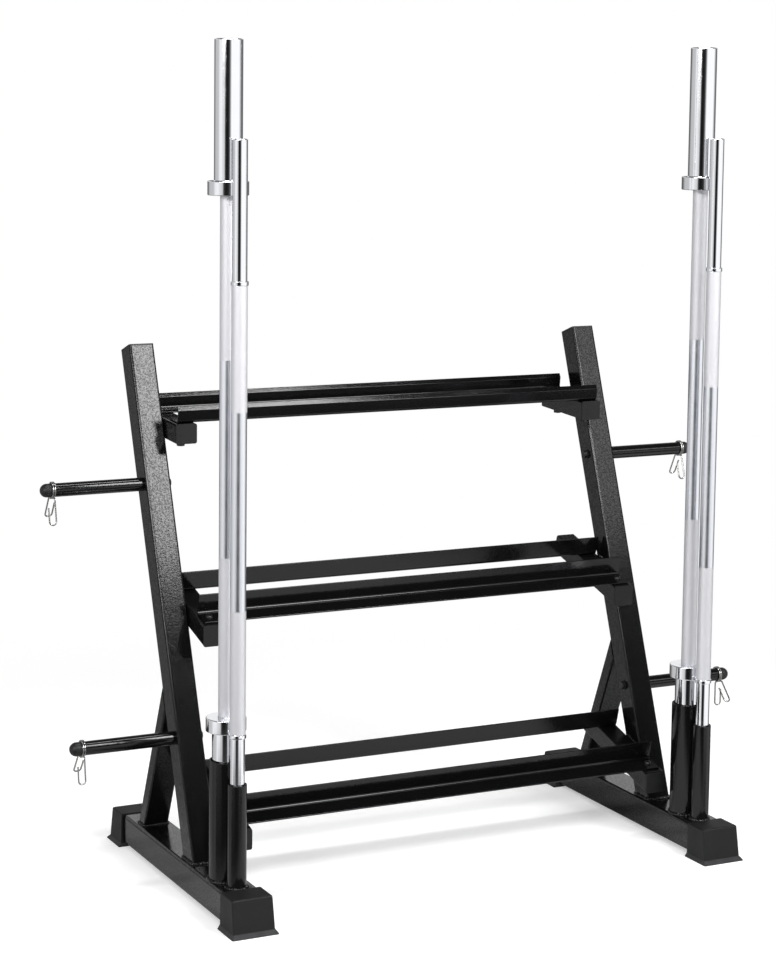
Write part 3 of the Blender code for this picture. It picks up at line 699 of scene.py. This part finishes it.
def turned(profile, steps):
    """A profile of (radius, height) running down its outer side, turned about Z."""
    mesh = bpy.data.meshes.new("profile")
    mesh.from_pydata([(r, 0.0, z) for r, z in profile],
                     [(i, i + 1) for i in range(len(profile) - 1)], [])
    ob = scratch(mesh)
    screw = ob.modifiers.new("turn", "SCREW")
    screw.axis = "Z"
    screw.angle = tau
    screw.steps = steps
    screw.use_merge_vertices = True
    screw.merge_threshold = 0.00001
    return shape_of(ob)


def arc(centre, radius, start, end, steps=5):
    """Points of (radius, height) on a part of a circle, angles in degrees."""
    angles = [radians(start + (end - start) * k / steps) for k in range(steps + 1)]
    return [(centre[0] + radius * cos(a), centre[1] + radius * sin(a)) for a in angles]


def circle(radius, sides):
    return [(cos(a) * radius, sin(a) * radius) for a in (tau * k / sides for k in range(sides))]


smooth_coat = coated("smooth_black_coat", coat_skin, (0.0036, 0.0036, 0.0039), 0.11,
                     (0.14, 0.0005), {"Specular IOR Level": 0.36},
                     Peel_size=330.0, Speck_size=800.0, Speck_amount=0.3, Sparkle=0.0)
seat = beam_top + joint_gap
for size, (y, outer, bore, top, steps, seed) in holder_sizes.items():
    lip = (outer - bore) / 2
    holder = set_smooth(turned([(0, holder_floor), (bore, holder_floor)]
                               + arc((bore + lip, top - lip), lip, 180, 0, 8)
                               + [(outer, seat), (0, seat)], steps))
    ring = [(x, y_out, beam_top + weld_out) for x, y_out in circle(outer + holder_weld_out, 60)]
    for side, sign, spot in both_sides(beam_x, y):
        show(f"holder_tube_{size}_{side}", holder, smooth_coat, at=spot,
             stands_for=[f"bar_holder_{size}_{side}"])
        bead(f"weld_holder_{size}_{side}", ring, True, holder_bead, seed + sign,
             holder_pitch, spot)


# shelf arms and their end caps
# Three pairs of short 42 x 38 mm tubes, welded to the inner faces of the uprights and rising to
# the back. Their ends are closed by thin moulded plugs, the front ones cut plumb.
arm_width = 0.042
arm_height = 0.038
arm_wall = 0.002
arm_corner = 0.004
arm_x = beam_x - post / 2 - joint_gap - arm_width / 2
arm_plug = 0.012
arm_overrun = -0.03
arm_cap_round = 0.0010
arm_bead = 0.0028
arm_bead_short = 0.06
# front top edge (y, z), slope and length
arm_sizes = {
    "top": (0.1289, 0.8414, radians(2.7), 0.163),
    "middle": (-0.0114, 0.4858, radians(15.5), 0.240),
    "bottom": (-0.1443, 0.1371, radians(15.5), 0.240),
}


def arm_frame(shelf):
    """An arm's own frame: Y square to its top face, Z back along it."""
    y, z, slope, length = arm_sizes[shelf]
    along = Vector((0, cos(slope), sin(slope)))
    normal = Vector((0, -sin(slope), cos(slope)))
    return frame_of((-1, 0, 0), normal, along, (0, y, z))


def ahead_of(y, depth):
    """What lies in front of an arm's plumb end, down to a depth, for cutting."""
    return block((-0.2, y - 0.5, 0.0), (0.2, y + depth, 2.0))


arm_cap_plastic = coated("grey_black_plug", grain_skin, (0.008, 0.008, 0.0084), 0.56,
                         (0.35, 0.0002), {"Specular IOR Level": 0.32}, Grain_size=1100.0,
                         Scuffs=0.5)
for shelf, (front_y, front_z, slope, length) in arm_sizes.items():
    here = arm_frame(shelf)
    core = here @ Matrix.Translation((0, -arm_height / 2, 0))
    end = length - cap_plate
    arm = tube(arm_width, arm_height, arm_corner, arm_wall, arm_overrun, end - joint_gap, core)
    arm = set_smooth(cut(arm, [ahead_of(front_y, cap_plate + joint_gap)]))
    tall = arm_height / cos(slope)
    plumb = frame_of((-1, 0, 0), (0, 0, 1), (0, 1, 0), (0, front_y, front_z - tall / 2))
    front_plate = eased(pushed([rectangle(arm_width, tall, arm_corner)], 0, cap_plate, plumb),
                        arm_cap_round)
    inside = rectangle(arm_width - 2 * arm_wall - 2 * joint_gap,
                       arm_height - 2 * arm_wall - 2 * joint_gap, arm_corner - arm_wall, 2)
    front_plug = cut(pushed([inside], arm_overrun, arm_plug, core),
                     [ahead_of(front_y, cap_plate / 2)])
    front_cap = set_smooth(cut(front_plate, [front_plug], "UNION"))
    rear_plate = eased(pushed([rectangle(arm_width, arm_height, arm_corner)], end, length, core),
                       arm_cap_round)
    rear_plug = pushed([inside], end - arm_plug, length - cap_plate / 2, core)
    rear_cap = set_smooth(cut(rear_plate, [rear_plug], "UNION"))
    for side, sign, spot in both_sides(arm_x):
        show(f"arm_tube_{shelf}_{side}", arm, powder_coat, at=spot,
             stands_for=[f"arm_{shelf}_{side}"])
        show(f"arm_plug_front_{shelf}_{side}", front_cap, arm_cap_plastic,
             at=spot, stands_for=[f"arm_cap_front_{shelf}_{side}"])
        show(f"arm_plug_rear_{shelf}_{side}", rear_cap, arm_cap_plastic,
             at=spot, stands_for=[f"arm_cap_rear_{shelf}_{side}"])
        for edge, level, faces in (("top", weld_out, (-1, 1)),
                                   ("under", -arm_height - weld_out, (1, -1))):
            one, two = [meets_post(here @ Vector((0, level, 0)), Vector(here.col[2][:3]), face)
                        for face in faces]
            path = [Vector((sign * (beam_x - post / 2), p.y, p.z))
                    for p in (one.lerp(two, arm_bead_short), two.lerp(one, arm_bead_short))]
            bead(f"weld_arm_{shelf}_{edge}_{side}", path, False, arm_bead, 71 + sign + len(shelf))


# shelf rails, bolts and nuts
# Each shelf is two angles folded from 3 mm sheet, bolted down on the arms. The top pair has a
# narrow lip, bent back along its upper edge. Button-head bolts go through, with nuts below.
rail_half = 0.457
rail_thick = 0.003
rail_stand = 0.0395
rail_flat = 0.0425
rail_bend = 0.007
rail_edge = 0.0008
rail_top_edge = 0.0009
lip_crease = 0.0243
lip_rise = 0.0078
lip_back = 0.0050
lip_lean = 0.0015
rail_bolt = 0.0228
# shelf, outer face of the standing flange along the arm, where the lying flange points, lip
rail_sizes = {
    "top_front": ("top", 0.0057, 1, True),
    "top_rear": ("top", arm_sizes["top"][3] - 0.0099, -1, True),
    "middle_front": ("middle", 0.0477, -1, False),
    "middle_rear": ("middle", arm_sizes["middle"][3] - 0.0992, 1, False),
    "bottom_front": ("bottom", 0.0526, -1, False),
    "bottom_rear": ("bottom", arm_sizes["bottom"][3] - 0.0578, 1, False),
}


def rail_outline(face, way, lipped):
    """A rail's section as (along the arm, above the arm) points."""
    near, far = (face, face + rail_thick) if way > 0 else (face + rail_thick, face)
    tip = near + way * rail_flat
    low = joint_gap
    corners = [(near, low), (tip, low), (tip, low + rail_thick), (far, low + rail_thick)]
    bend = [rail_bend, rail_edge, rail_edge, rail_bend - rail_thick]
    if not lipped:
        top = low + rail_stand
        return rounded(corners + [(far, top), (near, top)], bend + [rail_top_edge] * 2, 5)
    crease = low + lip_crease
    slant = Vector((lip_back, lip_rise)).normalized()
    across = Vector((slant.y, -slant.x)) * rail_thick
    front, back = (near, far) if near < far else (far, near)
    tip_front = Vector((front - lip_lean + lip_back, crease + lip_rise))
    upper = [((back - lip_lean, crease - rail_thick * 0.30), 0.0015),
             (tuple(tip_front + across), rail_top_edge), (tuple(tip_front), rail_top_edge),
             ((front - lip_lean, crease), 0.0018)]
    if way < 0:
        upper.reverse()
    return rounded(corners + [u[0] for u in upper], bend + [u[1] for u in upper], 5)


bolt_steel = coated("black_oxide_bolt", coat_skin, (0.030, 0.030, 0.032), 0.30, (0.2, 0.0002),
                    {"Metallic": 0.7}, Peel_size=1200.0, Speck_size=2400.0, Speck_amount=0.3,
                    Sparkle=0.0)
bolt_radius = 0.004
head_radius = 0.0070
head_height = 0.0042
key_radius = 0.0026
key_depth = 0.0022
nut_radius = 0.0082
nut_height = 0.0068
nut_washer_radius = 0.0096
nut_washer = 0.0014
washer_edge = 0.0003
bolt_tail = 0.0020
bolt_end = -rail_thick - arm_height - nut_height - bolt_tail - joint_gap

button = turned([(0, head_height)] + [(head_radius * s, head_height * h) for s, h in (
    (0.55, 0.98), (0.75, 0.88), (0.90, 0.66), (0.98, 0.36), (1.0, 0.10), (1.0, 0.0))]
    + [(bolt_radius, 0.0), (bolt_radius, bolt_end), (0, bolt_end)], 36)
key_socket = pushed([circle(key_radius, 6)], head_height - key_depth, head_height + 0.002)
button = set_smooth(cut(button, [key_socket]))
hole = bolt_radius * 1.02
nut_round = turned([(0, 0.0002), (nut_radius * 0.90, 0.0002), (nut_radius * 1.02, -0.0010),
                    (nut_radius * 1.02, 0.0010 - nut_height),
                    (nut_radius * 0.90, -nut_height - 0.0002), (0, -nut_height - 0.0002)], 36)
nut = cut(pushed([circle(nut_radius, 6)], -nut_height, 0.0), [nut_round], "INTERSECT")
nut = set_smooth(cut(nut, [pushed([circle(hole, 24)], -0.02, 0.02)]))
flat_washer = set_smooth(turned([
    (hole, 0.0), (nut_washer_radius - washer_edge, 0.0), (nut_washer_radius, -washer_edge),
    (nut_washer_radius, washer_edge - nut_washer), (nut_washer_radius - washer_edge, -nut_washer),
    (hole, -nut_washer), (hole, 0.0)], 40))
arm_underside = -(2 * joint_gap + rail_thick + arm_height)
for name, (shelf, face, way, lipped) in rail_sizes.items():
    here = arm_frame(shelf)
    section = frame_of(here.col[2][:3], here.col[1][:3], (1, 0, 0), here.translation)
    rail = pushed([rail_outline(face, way, lipped)], -rail_half, rail_half, section)
    rail = set_smooth(eased(rail, 0.0005, 2, 55.0))
    show(f"rail_angle_{name}", rail, smooth_coat, stands_for=[f"rail_{name}"])
    near = face if way > 0 else face + rail_thick
    tightened = radians(20 + 13 * len(name))
    for side, sign, spot in both_sides(arm_x):
        upright_here = (spot @ here
                        @ Matrix.Translation((0, joint_gap + rail_thick, near + way * rail_bolt))
                        @ Matrix.Rotation(radians(-90), 4, "X")
                        @ Matrix.Rotation(tightened, 4, "Z"))
        show(f"rail_bolt_{name}_{side}", button, bolt_steel, at=upright_here)
        under = upright_here @ Matrix.Translation((0, 0, arm_underside))
        show(f"rail_washer_{name}_{side}", flat_washer, bolt_steel, at=under)
        show(f"rail_nut_{name}_{side}", nut, bolt_steel,
             at=under @ Matrix.Translation((0, 0, -nut_washer)))


# plate pegs
# Four coated tubes stand straight out of the uprights' outer faces. A bolt through the upright,
# with a washer on the inner face, holds each; a domed plastic cap closes its tip.
peg_heights = {"upper": 0.724, "lower": 0.275}
peg_radius = 0.0128
peg_tip = 0.713
peg_cap = 0.024
peg_washer_radius = 0.0100
peg_washer_bore = 0.0052
peg_washer = 0.0016
peg_head_radius = 0.0080
peg_head = 0.0055
peg_edge = 0.0006
peg_cap_edge = 0.0005
peg_washer_edge = 0.0004
peg_bolt_turned = {-1: 37.0, 1: 11.0}


def rim(radius, z, rounding, way=1, steps=5):
    """The rounded edge at the top (1) or the bottom (-1) of a turned piece's outer side."""
    start = 90 if way > 0 else 0
    return arc((radius - rounding, z - way * rounding), rounding, start, start - 90, steps)


def peg_places():
    """The name, the side's sign and the centre, on its upright's axis, of each peg."""
    for level, height in peg_heights.items():
        at = post_origin + post_up * ((height - post_origin.z) / post_up.z)
        for side, sign, spot in both_sides(beam_x, at.y, at.z):
            yield level + "_" + side, sign, spot.translation


face = post / 2 + joint_gap
tip = peg_tip - beam_x
end = tip - peg_cap - joint_gap
peg_tube = set_smooth(turned([(0, end)] + rim(peg_radius, end, peg_edge, 1, 3)
                             + [(peg_radius, face), (0, face)], 48))
peg_end = set_smooth(turned(arc((0, tip - peg_radius), peg_radius, 90, 0, 12)
                            + rim(peg_radius, tip - peg_cap, peg_cap_edge, -1, 3)
                            + [(0, tip - peg_cap)], 48))
washer_end = -face - peg_washer
washer = set_smooth(turned(
    [(peg_washer_bore, -face)] + rim(peg_washer_radius, -face, peg_washer_edge, 1, 2)
    + rim(peg_washer_radius, washer_end, peg_washer_edge, -1, 2)
    + [(peg_washer_bore, washer_end), (peg_washer_bore, -face)], 40))
head_end = washer_end - peg_head
head_round = turned([(0, washer_end + 0.0002), (peg_head_radius * 1.02, washer_end + 0.0002),
                     (peg_head_radius * 1.02, head_end + 0.0014),
                     (peg_head_radius * 0.86, head_end), (0, head_end)], 40)
hex_head = set_smooth(cut(pushed([circle(peg_head_radius, 6)], head_end, washer_end),
                          [head_round], "INTERSECT"))
for name, sign, centre in peg_places():
    out_of_post = frame_of((0, sign, 0), (0, 0, 1), (sign, 0, 0), centre)
    show(f"peg_tube_{name}", peg_tube, smooth_coat, at=out_of_post,
         stands_for=[f"plate_peg_{name}"])
    show(f"peg_dome_{name}", peg_end, cap_plastic, at=out_of_post,
         stands_for=[f"plate_peg_cap_{name}"])
    show(f"peg_washer_{name}", washer, bolt_steel, at=out_of_post)
    show(f"peg_bolt_{name}", hex_head, bolt_steel,
         at=out_of_post @ Matrix.Rotation(radians(peg_bolt_turned[sign]), 4, "Z"))


# spring clips
# One piece of 3 mm spring wire each, nickel plated: two turns round the peg and a hairpin
# handle at each end. The grip of the coil holds it where it is pushed.
clip_x = 0.689
clip_wire = 0.0015
clip_play = 0.0005
clip_radius = peg_radius + clip_wire + clip_play
clip_pitch = 0.0035
clip_spread = 22.0
clip_turns = 2
clip_handle = 0.050
clip_return = 0.026
clip_hairpin = 0.0066
clip_shoulder = 0.0040
clip_turned = {"upper_left": 10.0, "lower_left": 14.0, "upper_right": 5.0, "lower_right": -22.0}

# Plated steel is faintly smeared, and has fine scratches drawn out along Z, as the bars stand.
metal_skin, inlet, spot = new_skin(
    "plated_steel_skin", {"Smear size": 30.0, "Scratch size": 260.0, "Stretch": 0.08})
tree = metal_skin
smear = noise(tree, spot, inlet["Smear size"], 3.0, 0.6)
stretch = node(tree, "ShaderNodeCombineXYZ", {"X": 1.0, "Y": 1.0, "Z": inlet["Stretch"]})
drawn_out = node(tree, "ShaderNodeVectorMath", {0: spot, 1: stretch.outputs[0]},
                 operation="MULTIPLY").outputs[0]
node(tree, "NodeGroupOutput", {
    "Shade": plus(tree, times(tree, smear, 0.06), 0.96),
    "Gloss break": times(tree, math_node(tree, "SUBTRACT", smear, 0.45), 0.10),
    "Height": noise(tree, drawn_out, inlet["Scratch size"], 4.0, 0.7)})
clip_wire_metal = coated("nickel_plated_wire", metal_skin, (0.42, 0.42, 0.41), 0.22,
                         (0.06, 0.0002), {"Metallic": 1.0}, Smear_size=60.0)


def clip_line():
    """The wire's centre line, handle, coil, handle; X is the peg's axis and -Z is down."""
    turn_round = 360.0 * clip_turns + 2 * clip_spread
    axial = clip_pitch * turn_round / 360.0
    ease = degrees(atan2(clip_shoulder, clip_radius))

    def polar(angle, radius):
        a = radians(angle)
        return Vector((0, radius * sin(a), -radius * cos(a)))

    def handle(angle, way, shift):
        outward = polar(angle, 1.0)
        sideways = polar(angle + 90.0 * way, 1.0)
        across = Vector((shift, 0, 0)).normalized()
        leg = Vector((shift, 0, 0))
        centre = leg - across * clip_hairpin + outward * (clip_radius + clip_handle - clip_hairpin)
        points = [centre - across * clip_hairpin - outward * clip_return]
        for k in range(13):
            a = radians(15 * k)
            points.append(centre - across * (clip_hairpin * cos(a))
                          + outward * (clip_hairpin * sin(a)))
        for k in range(7):
            a = radians(15 * k)
            points.append(leg + outward * (clip_radius + clip_shoulder * (1 - sin(a)))
                          + sideways * (clip_shoulder * (1 - cos(a))))
        return points

    coil = []
    step = 8.0
    angle = clip_spread - ease - step
    while angle > clip_spread - turn_round + ease + step / 2:
        point = polar(angle, clip_radius)
        point.x = axial * ((clip_spread - angle) / turn_round - 0.5)
        coil.append(point)
        angle -= step
    return handle(clip_spread, -1, -axial / 2) + coil + handle(-clip_spread, 1, axial / 2)[::-1]


wire = bpy.data.curves.new("clip", "CURVE")
wire.dimensions = "3D"
wire.bevel_depth = clip_wire
wire.use_fill_caps = True
line = clip_line()
spline = wire.splines.new("POLY")
spline.points.add(len(line) - 1)
for point, spot in zip(spline.points, line):
    point.co = (*spot, 1.0)
clip = set_smooth(shape_of(scratch(wire)), 50.0)
for name, sign, centre in peg_places():
    hang = Matrix.Rotation(radians(clip_turned[name]), 4, "X")
    if sign > 0:
        hang @= Matrix.Rotation(pi, 4, "Z")
    show(f"clip_wire_{name}", clip, clip_wire_metal, body=f"clip_{name}",
         at=Matrix.Translation((sign * clip_x, centre.y, centre.z)) @ hang,
         stands_for=[f"spring_clip_{name}"])


# wide bars
# A turned 28 mm steel shaft with two knurled lengths and a smooth middle, and a 50 mm sleeve
# with a collar turning on each end. All is chrome plated: the sleeves are polished, and the
# shaft's middle is left satin.
bar_base = holder_floor + joint_gap
wide_length = 1.465
wide_sleeve_radius = 0.0250
wide_collar_radius = 0.03625
wide_collar = 0.025
wide_sleeve = 0.245
wide_end_wall = 0.012
bar_radius = 0.0140
knurl_proud = 0.0002
smooth_half = 0.175

chrome = coated("polished_chrome", metal_skin, (0.86, 0.87, 0.90), 0.07, (0.03, 0.0002),
                {"Metallic": 1.0})
satin_chrome = coated("satin_chrome", metal_skin, (0.84, 0.86, 0.91), 0.30, (0.05, 0.0002),
                      {"Metallic": 1.0})

# Knurling is rolled in as two crossed sets of fine grooves. They spread the reflection, so a
# knurled length reads as satin silver.
knurl_skin, inlet, spot = new_skin(
    "knurled_skin", {"Grooves round": 70.0, "Grooves per metre": 800.0})
tree = knurl_skin
way = node(tree, "ShaderNodeSeparateXYZ", {0: spot}).outputs
turn = math_node(tree, "DIVIDE", math_node(tree, "ARCTAN2", way["Y"], way["X"]), tau)
round_count = times(tree, turn, inlet["Grooves round"])
long_count = times(tree, way["Z"], inlet["Grooves per metre"])
one_way, other_way = [math_node(tree, "PINGPONG", math_node(
    tree, crossing, round_count, long_count), 0.5) for crossing in ("ADD", "SUBTRACT")]
ridge = math_node(tree, "MINIMUM", one_way, other_way)
# painted shade: the knurl's grooves are painted darker than its ridges
node(tree, "NodeGroupOutput", {
    "Shade": plus(tree, times(tree, ridge, 0.25), 0.90),
    "Gloss break": times(tree, ridge, -0.15),
    "Height": ridge})
knurled = coated("knurled_chrome", knurl_skin, (0.82, 0.82, 0.85), 0.66, (0.35, 0.0005),
                 {"Metallic": 1.0}, Grooves_round=70.0, Grooves_per_metre=800.0)


def mirrored(upper, steps):
    """A bar turned from the profile of its upper half."""
    return turned(upper + [(x, -z) for x, z in reversed(upper)], steps)


def finish_lengths(mesh, lengths):
    """Gives each length (low, high, material), the same at both ends, its own finish."""
    for low, high, material in lengths:
        if material.name not in mesh.materials:
            mesh.materials.append(material)
        index = mesh.materials.find(material.name)
        for polygon in mesh.polygons:
            if low < abs(polygon.center.z) < high:
                polygon.material_index = index


half = wide_length / 2 - wide_end_wall - joint_gap
inner = wide_length / 2 - wide_sleeve - wide_collar
r = bar_radius
shaft = set_smooth(mirrored([
    (0, half), (r, half), (r, inner - 0.0006), (r + knurl_proud, inner - 0.0016),
    (r + knurl_proud, smooth_half + 0.0010), (r, smooth_half)], 64), 50.0)
finish_lengths(shaft, [(-1.0, 1.0, satin_chrome), (smooth_half + 0.0005, inner - 0.0010, knurled)])
collar_end = -wide_sleeve - wide_collar
collar_round = 0.0016
sleeve_round = 0.0024
sleeve = set_smooth(turned(
    [(0, -0.0012), (0.0030, -0.0012), (0.0042, 0.0), (wide_sleeve_radius - 0.0026, 0.0)]
    + arc((wide_sleeve_radius - sleeve_round, -sleeve_round), sleeve_round, 75, 5, 4)
    + [(wide_sleeve_radius, -0.0035), (wide_sleeve_radius, -wide_sleeve + 0.0010),
       (wide_sleeve_radius + 0.0010, -wide_sleeve)]
    + rim(wide_collar_radius, -wide_sleeve, collar_round)
    + rim(wide_collar_radius, collar_end, collar_round, -1)
    + [(r + 0.0024, collar_end), (r + 0.0004, collar_end + 0.0014),
       (r + 0.0003, -wide_end_wall), (0, -wide_end_wall)], 80), 40.0)
for side, sign, spot in both_sides(beam_x, holder_sizes["large"][0], bar_base):
    show(f"wide_shaft_{side}", shaft, None, body=f"wide_bar_{side}",
         at=spot @ Matrix.Translation((0, 0, wide_length / 2)),
         stands_for=[f"wide_bar_shaft_{side}"])
    show(f"wide_sleeve_top_{side}", sleeve, chrome, body=f"wide_sleeve_upper_{side}",
         at=spot @ Matrix.Translation((0, 0, wide_length)),
         stands_for=[f"wide_bar_sleeve_upper_{side}"])
    show(f"wide_sleeve_foot_{side}", sleeve, chrome, body=f"wide_sleeve_lower_{side}",
         at=spot @ Matrix.Rotation(pi, 4, "X"),
         stands_for=[f"wide_bar_sleeve_lower_{side}"])


# narrow bars
# One-piece bars of the same 28 mm steel. A thin ring is turned between each plain end and its
# knurled length, and the middle is left smooth and satin, all chrome plated.
thin_length = 1.294
thin_end_radius = 0.01325
thin_ring_radius = 0.0156
thin_ring = 0.0070
thin_end = 0.2445
half = thin_length / 2
ring_top = half - thin_end
ring_low = ring_top - thin_ring
ring_round = 0.0007
thin_round = 0.0019
thin_bar = set_smooth(mirrored(
    [(0, half - 0.0010), (0.0025, half - 0.0010), (0.0034, half), (thin_end_radius - 0.0022, half)]
    + arc((thin_end_radius - thin_round, half - thin_round), thin_round, 75, 5, 4)
    + [(thin_end_radius, half - 0.003), (thin_end_radius, ring_top)]
    + rim(thin_ring_radius, ring_top, ring_round, 1, 3)
    + rim(thin_ring_radius, ring_low, ring_round, -1, 3)
    + [(r, ring_low), (r, ring_low - 0.0004), (r + knurl_proud, ring_low - 0.0012),
       (r + knurl_proud, smooth_half + 0.0010), (r, smooth_half)], 64), 40.0)
finish_lengths(thin_bar, [(-1.0, 1.0, chrome), (-1.0, smooth_half + 0.0005, satin_chrome),
                          (smooth_half + 0.0005, ring_low - 0.0008, knurled)])
for side, sign, spot in both_sides(beam_x, holder_sizes["small"][0], bar_base + half):
    show(f"narrow_bar_{side}", thin_bar, None, body=f"thin_bar_{side}", at=spot,
         stands_for=[f"thin_bar_{side}"])
